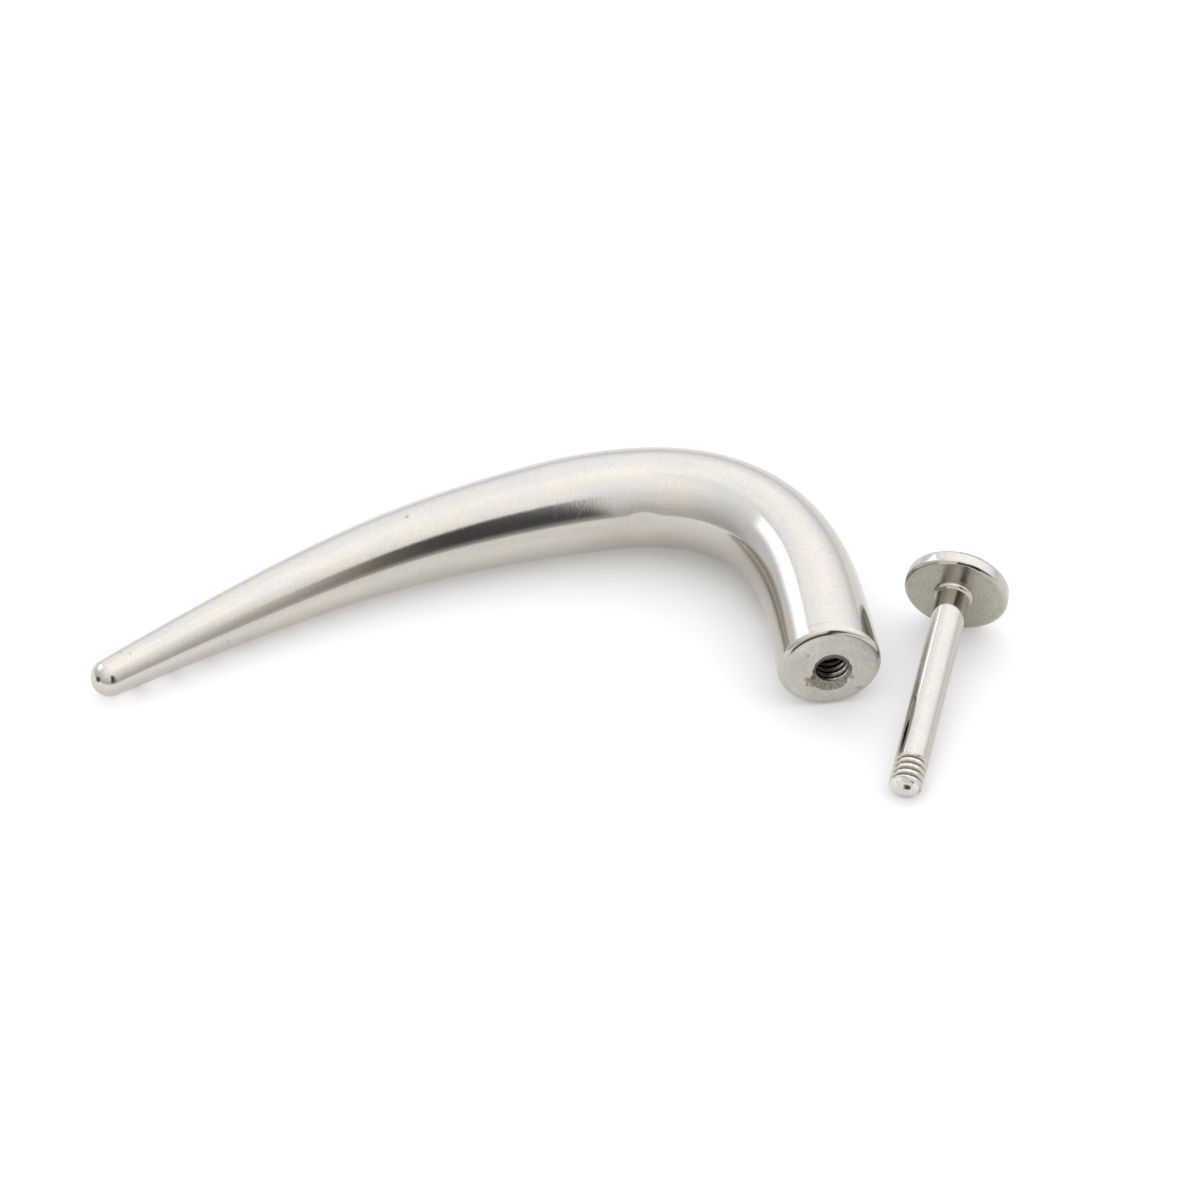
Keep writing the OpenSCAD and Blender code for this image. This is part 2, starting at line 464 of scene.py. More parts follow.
# %% [markdown]
# ## The stud
# The post was welded to the disc a hair off its centre. Disc and post are each spun round
# their own axis and the disc's face is then bridged from its rim to the weld ring, so the
# piece is one closed skin, as the welded metal is. The disc's front edge is rounded a little and
# its back edge a lot. The post ends in four turns of thread, a bevel that was filed in
# flats, and a flat end with a punched mark a little off its centre.

# %% Outlines of the disc and the post
DISC_RADIUS, DISC_THICK, DISC_BACK, DISC_FRONT = 2.5, 0.85, 0.35, 0.20
POST_RADIUS, POST_LENGTH, POST_OFF = 0.80, 10.2, 0.08
WELD_RADIUS, WELD_HEIGHT = 0.98, 0.22
CREST_RADIUS, GROOVE_DEPTH, TURNS = 0.78, 0.15, 4
THREAD_END = POST_LENGTH + TURNS * PITCH
END_BEVEL, TIP_BEVEL, BEVEL_STEPS = 0.24, 0.18, 6
DIMPLE_RADIUS, DIMPLE_DEPTH = 0.17, 0.24
STUD_END = THREAD_END + TIP_BEVEL
# How far the post's plain wall stays from the weld and from the thread
CLEAR = 0.02

disc_outline = arc((DISC_RADIUS - DISC_FRONT, -DISC_FRONT), DISC_FRONT, 90, 0, 9)
disc_outline += arc((DISC_RADIUS - DISC_BACK, DISC_BACK - DISC_THICK), DISC_BACK, 0, -90, 12)
disc_outline += [(0, -DISC_THICK)]

weld_wide = WELD_RADIUS - POST_RADIUS
post_outline = [(WELD_RADIUS, 0)] + arc((POST_RADIUS, 0), weld_wide, 12, 78, 8)
post_outline = [(r, h * WELD_HEIGHT / weld_wide) for r, h in post_outline]
post_outline += [(POST_RADIUS, h) for h in evenly(WELD_HEIGHT + CLEAR, POST_LENGTH - CLEAR, 24)]
post_outline += [(CREST_RADIUS, h) for h in evenly(POST_LENGTH, THREAD_END, 16 * TURNS)]
for i in range(1, BEVEL_STEPS + 1):
    in_by, on_by = END_BEVEL * i / BEVEL_STEPS, TIP_BEVEL * i / BEVEL_STEPS
    post_outline.append((CREST_RADIUS - in_by, THREAD_END + on_by))
post_outline += [(DIMPLE_RADIUS, STUD_END), (0, STUD_END - DIMPLE_DEPTH)]
print("stud:", round(DISC_THICK + STUD_END, 2), "mm long")

# %% The post's filed end
END_FLATS = 8
DIMPLE_AT = Vector((0.12, 0.17, 0))


def file_end(bm, corners):
    """Files flats on the post's bevel and moves the punched mark off centre."""
    for v in corners:
        if v.co.z > THREAD_END + HAIR and v.co.xy.length > DIMPLE_RADIUS + HAIR:
            off_flat = (math.atan2(v.co.y, v.co.x) / math.tau * END_FLATS) % 1.0 - 0.5
            flat_share = math.cos(math.pi / END_FLATS) / math.cos(math.tau * off_flat / END_FLATS)
            v.co.xy *= 1 + (flat_share - 1) * min(1, (v.co.z - THREAD_END) / TIP_BEVEL)
    dimple = [v for v in corners
              if v.co.z > THREAD_END - 10 * HAIR and v.co.xy.length < DIMPLE_RADIUS + HAIR]
    bmesh.ops.translate(bm, vec=DIMPLE_AT, verts=dimple)


# %% The whole stud, laid on the table
# It rests on the disc's edge and the last ridge of the thread
STUD_LEAN = math.atan((DISC_RADIUS - CREST_RADIUS) / (THREAD_END + 0.05))
STUD_TURN = (Matrix.Rotation(math.radians(-12.6), 4, "Z")
             @ Matrix.Rotation(QUARTER_TURN + STUD_LEAN, 4, "X"))
# Material numbers of the stud's faces. Post and edge have 0
DISC_FACE, THREAD = 1, 2

bm = with_ruler()
disc = spun(bm, disc_outline)
disc_rim = edges_of([v for v in disc if abs(v.co.z) < NOTHING])
bmesh.ops.translate(bm, vec=(POST_OFF, 0, 0), verts=disc)
post = spun(bm, post_outline)
weld_ring = edges_of([v for v in post if abs(v.co.z) < NOTHING])
for face in faces_of(post):
    if all(v.co.z > POST_LENGTH - CLEAR - HAIR for v in face.verts):
        face.material_index = THREAD
cut_thread(post, POST_LENGTH, THREAD_END + TIP_BEVEL / 2, -GROOVE_DEPTH, fade_in=0.12,
           fade_out=0.10, turned=0.15)
file_end(bm, post)
for face in bmesh.ops.bridge_loops(bm, edges=disc_rim + weld_ring)["faces"]:
    face.material_index = DISC_FACE
keep_straight(bm, bm.verts)
stud = laid_in_place(bm, "stud_steel", "labret_stud", STUD_TURN)

# %% [markdown]
# ## Building materials from nodes
# Every finish here is steel, and only its wear differs. A few helpers keep the node trees
# short: one adds a node and wires it, others do sums, make a soft step or mix two colours.

# %% Helpers for numbers and places


def add(tree, kind, **settings):
    """A new node. Settings are its properties, or in_0, in_Scale and so on for its sockets."""
    node = tree.nodes.new("ShaderNode" + kind)
    for key, value in settings.items():
        if key.startswith("in_"):
            socket = key[3:].replace("_", " ")
            socket = node.inputs[int(socket) if socket.isdigit() else socket]
            if isinstance(value, bpy.types.NodeSocket):
                tree.links.new(value, socket)
            else:
                socket.default_value = value
        else:
            setattr(node, key, value)
    return node


def calc(tree, operation, a, b=0.0):
    return add(tree, "Math", operation=operation, in_0=a, in_1=b).outputs[0]


def plus(tree, a, b):
    return calc(tree, "ADD", a, b)


def minus(tree, a, b):
    return calc(tree, "SUBTRACT", a, b)


def times(tree, value, *others):
    """The product of all the values."""
    for other in others:
        value = calc(tree, "MULTIPLY", value, other)
    return value


def vector_calc(tree, operation, a, b=(0, 0, 0)):
    """A sum or product of vectors, or a number such as their distance."""
    node = add(tree, "VectorMath", operation=operation, in_0=a, in_1=b)
    gives_number = operation in ("LENGTH", "DISTANCE", "DOT_PRODUCT")
    return node.outputs["Value" if gives_number else "Vector"]


def parts_of(tree, vector):
    """The three numbers of a vector, X, Y and Z."""
    return add(tree, "SeparateXYZ", in_0=vector).outputs


def straight_place(tree):
    """The straight place of the spot that is shaded."""
    return add(tree, "Attribute", attribute_name=RULER).outputs["Vector"]


def soft_step(tree, value, low, high):
    """0 below low, 1 above high, smooth between. With low above high it falls instead."""
    starts, ends = (0.0, 1.0) if low < high else (1.0, 0.0)
    return add(tree, "MapRange", interpolation_type="SMOOTHSTEP", in_0=value, in_1=min(low, high),
               in_2=max(low, high), in_3=starts, in_4=ends).outputs[0]


def between(tree, share, low, high):
    """The number low where the share is 0 and high where it is 1."""
    return add(tree, "MapRange", in_0=share, in_3=low, in_4=high).outputs[0]


def soft_noise(tree, place, scale, detail, roughness=0.5):
    """Noise from 0 to 1 at a place: finer with a larger scale, rougher with more detail."""
    return add(tree, "TexNoise", in_Vector=place, in_Scale=scale, in_Detail=detail,
               in_Roughness=roughness).outputs[0]


# %% Helpers for colours


def mixed(tree, share, a, b, blend="MIX"):
    """Colour a where the share is 0 and colour b, or the blend of both, where it is 1."""
    a, b = [(*c, 1) if isinstance(c, tuple) else c for c in (a, b)]
    return add(tree, "Mix", data_type="RGBA", blend_type=blend, in_0=share, in_6=a,
               in_7=b).outputs[2]


def tinted(tree, share, colour, tint):
    """The colour multiplied by a tint, where the share is 1."""
    return mixed(tree, share, colour, tint, "MULTIPLY")


def layered(tree, colour, *layers):
    """The colour with others laid over it. Each is where (from 0 to 1), how strong, which."""
    for where, strength, over in layers:
        colour = mixed(tree, times(tree, where, strength), colour, over)
    return colour


# %% [markdown]
# ## Wear as reusable node groups
# Five effects are shared: the fine lines that a polishing wheel leaves across the metal, the
# faint cloudiness of a satin polish, tiny pits, the rings of a lathe and a stain with a ragged
# edge, which also paints a few spots of painted reflection and painted shade. Each is a node
# group with named sockets, built once and set differently in each finish.
# All of them read the straight ruler, in millimetres.

# %% Making a group


def wear_group(name, inputs, outputs):
    """A node group with these float or vector inputs and float outputs, and its two end nodes."""
    tree = bpy.data.node_groups.new(name, "ShaderNodeTree")
    for socket_name, value in inputs.items():
        is_vector = value is None or isinstance(value, tuple)
        kind = "NodeSocketVector" if is_vector else "NodeSocketFloat"
        socket = tree.interface.new_socket(socket_name, in_out="INPUT", socket_type=kind)
        if value is not None:
            socket.default_value = value
    for socket_name in outputs:
        tree.interface.new_socket(socket_name, in_out="OUTPUT", socket_type="NodeSocketFloat")
    given, out = tree.nodes.new("NodeGroupInput"), tree.nodes.new("NodeGroupOutput")
    return tree, given.outputs, out.inputs


# %% Polishing lines
# Noise that is squeezed along the horn and stretched round it looks like fine lines across it
lines, given, out = wear_group(
    "polishing_lines", {"Place": None, "Squeeze": (14.0, 1.4, 1.4), "Slant": 0.25},
    ["Height", "Deep"])
x, y, z = parts_of(lines, given["Place"])
leaning = plus(lines, x, times(lines, z, given["Slant"]))
place = add(lines, "CombineXYZ", in_0=leaning, in_1=y, in_2=z).outputs[0]
place = vector_calc(lines, "MULTIPLY", place, given["Squeeze"])
lines.links.new(soft_noise(lines, place, 1.0, 3.0, 0.65), out["Height"])
lines.links.new(soft_step(lines, soft_noise(lines, place, 0.6, 1.0), 0.64, 0.72), out["Deep"])

# %% Cloudiness
cloudy, given, out = wear_group(
    "satin_clouds", {"Place": None, "Size": 1.0, "Contrast": 1.0}, ["Cloud"])
scale = calc(cloudy, "DIVIDE", 1.0, given["Size"])
cloud = soft_noise(cloudy, given["Place"], scale, 4.0, 0.55)
centred = times(cloudy, minus(cloudy, cloud, 0.5), given["Contrast"])
clamped = add(cloudy, "Math", operation="ADD", use_clamp=True, in_0=centred, in_1=0.5)
cloudy.links.new(clamped.outputs[0], out["Cloud"])

# %% Pits
# A pit sits in the middle of some cells of a Voronoi pattern, drawn by the cell's colour
PIT_STEEPNESS = 14.0
pitted, given, out = wear_group(
    "tiny_pits", {"Place": None, "Spacing": 0.8, "Share": 0.3, "Size": 0.12}, ["Pit"])
scale = calc(pitted, "DIVIDE", 1.0, given["Spacing"])
cells = add(pitted, "TexVoronoi", in_Vector=given["Place"], in_Scale=scale)
draw = add(pitted, "SeparateColor", in_0=cells.outputs["Color"]).outputs[0]
drawn = calc(pitted, "LESS_THAN", draw, given["Share"])
inside = minus(pitted, given["Size"], cells.outputs["Distance"])
pit = add(pitted, "Math", operation="MULTIPLY", use_clamp=True, in_0=inside, in_1=PIT_STEEPNESS)
pitted.links.new(times(pitted, pit.outputs[0], drawn), out["Pit"])

# %% Rings that a lathe leaves
# Noise that changes only with the distance from the middle of a turned face
turned, given, out = wear_group(
    "lathe_rings", {"Place": None, "Across": (0.0, 1.0, 1.0), "Spacing": 0.2}, ["Ring"])
place = vector_calc(turned, "MULTIPLY", given["Place"], given["Across"])
steps_out = calc(turned, "DIVIDE", vector_calc(turned, "LENGTH", place), given["Spacing"])
rings = add(turned, "TexNoise", noise_dimensions="1D", in_W=steps_out, in_Scale=1.0, in_Detail=2.0)
turned.links.new(soft_step(turned, rings.outputs[0], 0.35, 0.68), out["Ring"])

# %% Stains, and spots of painted reflection and painted shade
stains_and_painted_spots, given, out = wear_group(
    "ragged_stain", {"Place": None, "Centre": (0.0, 0.0, 0.0), "Reach": 0.3, "Ragged": 0.4},
    ["Stain"])
off = vector_calc(stains_and_painted_spots, "DISTANCE", given["Place"], given["Centre"])
edge = minus(stains_and_painted_spots, soft_noise(stains_and_painted_spots, given["Place"], 5.0, 3.0), 0.5)
off = plus(stains_and_painted_spots, off, times(stains_and_painted_spots, edge, given["Ragged"]))
share = calc(stains_and_painted_spots, "DIVIDE", off, given["Reach"])
stains_and_painted_spots.links.new(soft_step(stains_and_painted_spots, share, 1.0, 0.45), out["Stain"])


def wear(tree, group, output=0, **inputs):
    """One effect in a material: an instance of a group on the straight ruler."""
    node = add(tree, "Group", node_tree=group)
    tree.links.new(straight_place(tree), node.inputs["Place"])
    for name, value in inputs.items():
        node.inputs[name].default_value = value
    return node.outputs[output]


for group in (lines, cloudy, pitted, turned, stains_and_painted_spots):
    print("wear group", group.name, "has", len(group.nodes), "nodes")

# %% [markdown]
# ## Steel
# Stainless steel reflects about half of the light, a little less of the blue, so white looks
# slightly warm in it. A finish starts from that colour. Colour, roughness and relief come from
# the wear groups, and the relief is only a few thousandths of a millimetre high.

# %% The start and the end of every finish
STEEL = (0.588, 0.559, 0.506)
LILAC_STEEL = (0.566, 0.544, 0.500)
DARK_STEEL = (0.33, 0.305, 0.26)
RUST = (0.20, 0.105, 0.045)


def finish(name):
    """A new metal material and its node tree."""
    material = bpy.data.materials.new(name)
    material.use_nodes = True
    material.node_tree.nodes["Principled BSDF"].inputs["Metallic"].default_value = 1
    return material, material.node_tree


def dress(piece, material, colour, roughness, height, relief):
    """Wires colour, roughness and a relief of that many millimetres, and adds it to the piece."""
    tree = material.node_tree
    shader = tree.nodes["Principled BSDF"]
    tree.links.new(colour, shader.inputs["Base Color"])
    tree.links.new(roughness, shader.inputs["Roughness"])
    bump = add(tree, "Bump", in_Height=height, in_Distance=relief * MM)
    tree.links.new(bump.outputs[0], shader.inputs["Normal"])
    piece.data.materials.append(material)
    print(material.name, "on", piece.name, "has", len(tree.nodes), "nodes")


def rim_line(tree, side, up, size, thick, start, end):
    """1 on a line along the upper part of a round edge, between two places along its side."""
    square = plus(tree, times(tree, side, side), times(tree, up, up))
    off = minus(tree, calc(tree, "SQRT", square), size)
    line = soft_step(tree, calc(tree, "ABSOLUTE", off), thick, thick / 4)
    return times(tree, line, soft_step(tree, side, *start), soft_step(tree, side, *end),
                 soft_step(tree, up, 0.0, 0.5))


# %% [markdown]
# ## The claw's polish
# The horn was polished on a wheel and then handled. It mirrors its surroundings softly, with
# faint lines across it, a satin cloudiness and a few pinprick pits. Cooler and warmer patches
# come and go over a few millimetres. The arm's underside is painted lighter, as painted light.
# A dark line along the flat end's rounded edge and a dark crescent on the tip are painted
# reflections, and a lathe left a short mark behind the edge.

# %% Claw polish
# Straight place, reach in millimetres and how dark. The one on the tip is a painted
# reflection of a dark crescent; the others are marks
CLAW_MARKS_AND_PAINTED_REFLECTION = [
    ((27.96, -0.04, 1.92), 0.13, 0.45),
    # painted reflection: the dark crescent on the tip's ball
    ((44.96, 0.22, 0.49), 0.17, 1.0),
    ((43.36, -0.26, 0.94), 0.10, 0.25),
    ((43.06, 0.11, 0.99), 0.09, 0.25),
    ((38.40, 1.27, 0.05), 0.10, 0.3),
]
claw_polish, tree = finish("claw_polish")
broad = wear(tree, cloudy, Size=2.2, Contrast=2.4)
grain = wear(tree, cloudy, Size=0.11, Contrast=2.2)
speckle = wear(tree, cloudy, Size=0.15, Contrast=3.0)
across = wear(tree, lines)
streaks = wear(tree, lines, Squeeze=(0.30, 1.6, 1.6), Slant=0.0)
streaks = soft_step(tree, streaks, 0.36, 0.64)
scratches = wear(tree, lines, "Deep", Squeeze=(11.0, 2.0, 2.0), Slant=0.9)
pits = wear(tree, pitted, Spacing=1.3, Share=0.22, Size=0.07)
colour = mixed(tree, broad, STEEL, LILAC_STEEL)
for pattern, warm, cool in ((speckle, (1.012, 1.0, 0.98), (0.99, 1.0, 1.016)),
                            (streaks, (1.02, 1.0, 0.955), (0.95, 0.96, 0.985))):
    colour = tinted(tree, 1.0, colour, mixed(tree, pattern, warm, cool))
colour = layered(tree, colour, (grain, 0.22, DARK_STEEL), (across, 0.28, DARK_STEEL),
                 (scratches, 0.10, DARK_STEEL), (pits, 0.5, DARK_STEEL))
for centre, reach, amount in CLAW_MARKS_AND_PAINTED_REFLECTION:
    mark = wear(tree, stains_and_painted_spots, Centre=centre, Reach=reach, Ragged=0.25 * reach)
    colour = layered(tree, colour, (mark, amount, (0.09, 0.075, 0.06)))

# %% The underside's painted light, the rim's painted reflection and the turning mark
along, left, up = parts_of(tree, straight_place(tree))
# Painted light: the arm's underside is painted lighter, standing for a brighter reflection of the
# table
underside_painted_light = times(tree, soft_step(tree, up, 0.65, 0.2), soft_step(tree, along, 17, 22))
colour = tinted(tree, underside_painted_light, colour, (1.09, 1.09, 1.10))
# Painted reflection: a dark line along the upper part of the flat end's rounded edge
rim_painted_reflection = rim_line(tree, left, up, 2.265, 0.085, (1.95, 1.65), (-0.75, 0.0))
rim_painted_reflection = times(tree, rim_painted_reflection, soft_step(tree, along, 0.25, 0.15))
off_mark = calc(tree, "ABSOLUTE", minus(tree, along, 0.62))
turning_mark = times(tree, soft_step(tree, off_mark, 0.05, 0.01), soft_step(tree, left, 1.1, 0.7),
                     soft_step(tree, left, -0.4, 0.0))
colour = layered(tree, colour, (rim_painted_reflection, 1.0, (0.055, 0.040, 0.032)),
                 (turning_mark, 0.30, (0.30, 0.25, 0.19)))
rough = plus(tree, between(tree, grain, 0.09, 0.15), between(tree, scratches, 0.0, 0.06))
raised = plus(tree, across, times(tree, grain, 0.5))
sunk = plus(tree, pits, times(tree, scratches, 0.4))
dress(claw, claw_polish, colour, rough, minus(tree, raised, sunk), 0.0008)

# %% [markdown]
# ## The flat end
# The flat end was faced on a lathe and left satin. It is greyer than the horn and mottled warm
# and cool, and brown dirt and a little rust have gathered round the mouth of the hole.

# %% Satin of the flat end
# Straight place, reach, raggedness, strength and colour of each stain
BROWN_DIRT = (0.19, 0.155, 0.11)
END_STAINS = [
    ((0.0, 1.25, 0.80), 0.65, 0.8, 0.40, (0.44, 0.45, 0.46)),
    ((0.0, -0.05, 1.75), 0.75, 0.9, 0.35, (0.42, 0.43, 0.44)),
    ((0.0, 1.60, 0.30), 0.80, 0.9, 0.30, (0.40, 0.385, 0.33)),
    ((0.0, 1.02, -0.62), 0.26, 0.5, 0.7, BROWN_DIRT),
    ((0.0, 0.86, -0.98), 0.17, 0.4, 0.7, BROWN_DIRT),
    ((0.0, 1.10, -0.93), 0.10, 0.2, 0.7, RUST),
    ((0.0, 0.98, 0.98), 0.14, 0.3, 0.5, BROWN_DIRT),
    ((0.0, -0.98, -0.75), 0.18, 0.4, 0.5, BROWN_DIRT),
    ((0.0, -1.35, -1.60), 0.20, 0.4, 0.45, BROWN_DIRT),
]
flat_satin, tree = finish("flat_end_satin")
broad = wear(tree, cloudy, Size=1.0, Contrast=2.6)
grain = wear(tree, cloudy, Size=0.12, Contrast=2.6)
blotch = wear(tree, cloudy, Size=0.5, Contrast=3.4)
specks = wear(tree, pitted, Spacing=0.5, Share=0.25, Size=0.11)
rings = wear(tree, turned, Across=(0.0, 1.0, 1.0), Spacing=0.16)
colour = mixed(tree, broad, (0.650, 0.625, 0.555), (0.615, 0.605, 0.565))
colour = layered(tree, colour, (blotch, 0.30, (0.45, 0.42, 0.35)), (grain, 0.34, DARK_STEEL),
                 (rings, 0.18, (0.40, 0.385, 0.33)), (specks, 0.4, DARK_STEEL))
for centre, reach, ragged, amount, tint in END_STAINS:
    stain = wear(tree, stains_and_painted_spots, Centre=centre, Reach=reach, Ragged=ragged)
    colour = layered(tree, colour, (stain, amount, tint))
rough = between(tree, grain, 0.24, 0.38)
dress(claw, flat_satin, colour, rough, minus(tree, grain, specks), 0.002)

# %% [markdown]
# ## The hole
# Inside the hole, the wall is painted light near the mouth and painted shade deeper in and
# towards one side, and its grooves are painted darker, as painted shade. The torn mouth is rough,
# with short furrows that run outwards, as a dull countersink leaves them, and one rust spot. Its
# upper part is painted darker and its lower part lighter, as painted shade and painted light.

# %% Tapped wall


def across_hole(tree):
    """The straight place from the hole's axis, square to that axis."""
    off = vector_calc(tree, "SUBTRACT", straight_place(tree), HOLE_AT)
    return vector_calc(tree, "MULTIPLY", off, (0, 1, 1))


tapped, tree = finish("tapped_hole")
grain = wear(tree, cloudy, Size=0.12, Contrast=2.0)
depth_in, left, _ = parts_of(tree, straight_place(tree))
# Painted light near the mouth, fading to painted shade deeper in and towards one side
painted_hole_shade = plus(tree, times(tree, depth_in, 1.6), times(tree, left, 2.0))
painted_hole_shade = soft_step(tree, painted_hole_shade, -0.2, 1.1)
# Painted shade in the thread's grooves inside the hole
in_groove = soft_step(tree, vector_calc(tree, "LENGTH", across_hole(tree)),
                      HOLE_RADIUS + 0.01, HOLE_RADIUS + 0.7 * THREAD_DEPTH)
colour = mixed(tree, painted_hole_shade, (0.74, 0.71, 0.64), (0.018, 0.016, 0.014))
colour = layered(tree, colour, (in_groove, 0.75, (0.05, 0.042, 0.032)),
                 (grain, 0.25, (0.16, 0.14, 0.11)))
dress(claw, tapped, colour, between(tree, grain, 0.22, 0.42), grain, 0.003)

# %% Torn mouth
# Furrows that run outwards are noise that changes with the angle round the hole and hardly
# with the distance from it, so it reads the way outwards and only a little of the place
torn_steel, tree = finish("torn_mouth")
from_hole = across_hole(tree)
outward = vector_calc(tree, "NORMALIZE", from_hole)
wavy = vector_calc(tree, "MULTIPLY", from_hole, (0.55, 0.55, 0.55))
outward = vector_calc(tree, "ADD", outward, wavy)
furrows = soft_noise(tree, outward, 8.0, 4.0, 0.7)
grain = wear(tree, cloudy, Size=0.10, Contrast=2.6)
rust = wear(tree, stains_and_painted_spots, Centre=(0.05, 0.76, -0.62), Reach=0.19, Ragged=0.35)
# Painted shade and painted light: the mouth's upper part is painted darker, its lower part lighter
painted_mouth_shade = soft_step(tree, parts_of(tree, outward)["Z"], -0.75, 0.2)
colour = mixed(tree, painted_mouth_shade, (0.42, 0.395, 0.335), (0.26, 0.24, 0.195))
colour = layered(tree, colour, (soft_step(tree, furrows, 0.42, 0.66), 0.55, (0.10, 0.085, 0.06)),
                 (soft_step(tree, furrows, 0.45, 0.30), 0.35, (0.55, 0.53, 0.47)),
                 (grain, 0.5, (0.12, 0.10, 0.075)), (rust, 0.65, RUST))
rough = between(tree, grain, 0.34, 0.55)
dress(claw, torn_steel, colour, rough, plus(tree, furrows, grain), 0.02)

# %% [markdown]
# ## The stud's polish
# The post and the disc's edge are polished brighter than the horn, with faint lines along the
# post where it was pulled through the wheel. A black line on the disc's front edge is a painted
# reflection. The disc's face is duller, and the thread keeps the satin that the rollers left,
# with darker, browner grooves and painted shade in the punched mark on its end.

# %% Post and edge
stud_polish, tree = finish("stud_polish")
along = wear(tree, lines, Squeeze=(9.0, 9.0, 0.5), Slant=0.0)
broad = wear(tree, cloudy, Size=0.9, Contrast=2.2)
pits = wear(tree, pitted, Spacing=0.7, Share=0.15, Size=0.06)
grain = wear(tree, cloudy, Size=0.12, Contrast=2.8)
side, up, _ = parts_of(tree, straight_place(tree))
side = minus(tree, side, POST_OFF)
edge_line = DISC_RADIUS - 0.08
# Painted reflection: a black line along the disc's front edge
edge_painted_reflection = rim_line(tree, side, up, edge_line, 0.065, (0.02, 0.14), (1.30, 1.10))
edge_brown = rim_line(tree, side, up, edge_line, 0.06, (0.9, 1.1), (2.0, 1.5))
colour = mixed(tree, broad, (0.566, 0.542, 0.497), (0.544, 0.517, 0.466))
colour = layered(tree, colour, (grain, 0.22, DARK_STEEL), (along, 0.28, DARK_STEEL),
                 (pits, 0.5, DARK_STEEL), (edge_brown, 0.55, (0.16, 0.12, 0.08)),
                 (edge_painted_reflection, 0.95, (0.03, 0.025, 0.02)))
rough = between(tree, grain, 0.03, 0.10)
dress(stud, stud_polish, colour, rough, minus(tree, along, pits), 0.0008)

# %% The disc's face
face_satin, tree = finish("disc_face_satin")
grain = wear(tree, cloudy, Size=0.14, Contrast=2.2)
broad = wear(tree, cloudy, Size=0.9, Contrast=2.4)
rings = wear(tree, turned, Across=(1.0, 1.0, 0.0), Spacing=0.16)
colour = mixed(tree, broad, (0.60, 0.585, 0.500), (0.50, 0.488, 0.425))
colour = layered(tree, colour, (grain, 0.45, (0.26, 0.24, 0.195)),
                 (rings, 0.25, (0.36, 0.34, 0.28)))
rough = between(tree, grain, 0.17, 0.26)
dress(stud, face_satin, colour, rough, plus(tree, grain, rings), 0.0008)

# %% The thread
# The grooves are darker and browner: where the straight place is nearer to the axis than the
# ridges are
thread_steel, tree = finish("thread_satin")
x, y, z = parts_of(tree, straight_place(tree))
square = plus(tree, times(tree, x, x), times(tree, y, y))
in_groove = soft_step(tree, calc(tree, "SQRT", square),
                      CREST_RADIUS - 0.03, CREST_RADIUS - 0.75 * GROOVE_DEPTH)
darker_browner_grooves = times(tree, in_groove, soft_step(tree, z, THREAD_END + 0.06, THREAD_END - 0.02))
grain = wear(tree, cloudy, Size=0.12, Contrast=2.4)
# Painted shade: the inside of the punched mark on the end is painted nearly black
dimple_painted_shade_centre = (DIMPLE_AT.x, DIMPLE_AT.y, STUD_END - 0.1)
mark = wear(tree, stains_and_painted_spots, Centre=dimple_painted_shade_centre, Reach=0.27, Ragged=0.26)
on_end = soft_step(tree, z, THREAD_END, THREAD_END + 0.06)
colour = mixed(tree, on_end, (0.60, 0.575, 0.515), (0.78, 0.76, 0.70))
colour = layered(tree, colour, (grain, 0.30, DARK_STEEL), (darker_browner_grooves, 0.8, (0.22, 0.165, 0.105)),
                 (mark, 0.95, (0.035, 0.025, 0.022)))
dress(stud, thread_steel, colour, between(tree, grain, 0.14, 0.26), grain, 0.002)

# %% [markdown]
# ## The table
# The pieces lie on a plain sheet of milky white plastic. It needs no texture, only the right
# white: bright enough to burn out in the picture. The sheet also glows with painted light, a
# little warm and more of it towards the horn's tip, so the shadows are soft, warm and paler
# there. The glow is darkened right under the horn's bend and beside its arm, as painted
# shadows, and brightened right under the thin tip, as painted light.

# %% Places on the table under the horn
# Distance from the flat end, and how much the painted shadow under the bend takes away there
PAINTED_SHADOW_UNDER_BEND = {5: 0.45, 8: 0.75, 11: 0.35, 14: 0.2}
ALONG_ARM = range(24, 45, 2)


def middle_of_horn(distance):
    """The spot on the table under the horn's middle, so many millimetres from its flat end."""
    straight = claw.data.attributes[RULER].data
    near = [v.co for v, at in zip(claw.data.vertices, straight)
            if abs(at.vector.x - distance) < 0.2]
    middle = sum(near, Vector()) / len(near) / MM
    return Vector((middle.x, middle.y, 0))


print("the tip lies over", [round(c, 1) for c in middle_of_horn(ALONG_ARM[-1])], "mm")

# %% The sheet of plastic
floor_mesh = bpy.data.meshes.new("table_top")
floor = bpy.data.objects.new("table_top", floor_mesh)
bm = bmesh.new()
bmesh.ops.create_grid(bm, x_segments=1, y_segments=1, size=1.5)
bm.to_mesh(floor_mesh)
bm.free()
bpy.context.scene.collection.objects.link(floor)
milky = bpy.data.materials.new("milky_plastic")
milky.use_nodes = True
tree = milky.node_tree
sheet = tree.nodes["Principled BSDF"].inputs
sheet["Base Color"].default_value = (0.66, 0.656, 0.65, 1)
sheet["Roughness"].default_value = 0.8
sheet["Specular IOR Level"].default_value = 0.1
sheet["Emission Strength"].default_value = 1.0
floor_mesh.materials.append(milky)
print("table:", round(floor.dimensions.x, 1), "m wide")

# %% The sheet's painted light and painted shadows
on_table = vector_calc(tree, "DIVIDE", add(tree, "TexCoord").outputs["Object"], (MM, MM, MM))
along_table = parts_of(tree, on_table)["X"]


def from_horn(distance):
    """How many millimetres a spot of the table is from that one under the horn."""
    return vector_calc(tree, "DISTANCE", on_table, middle_of_horn(distance))


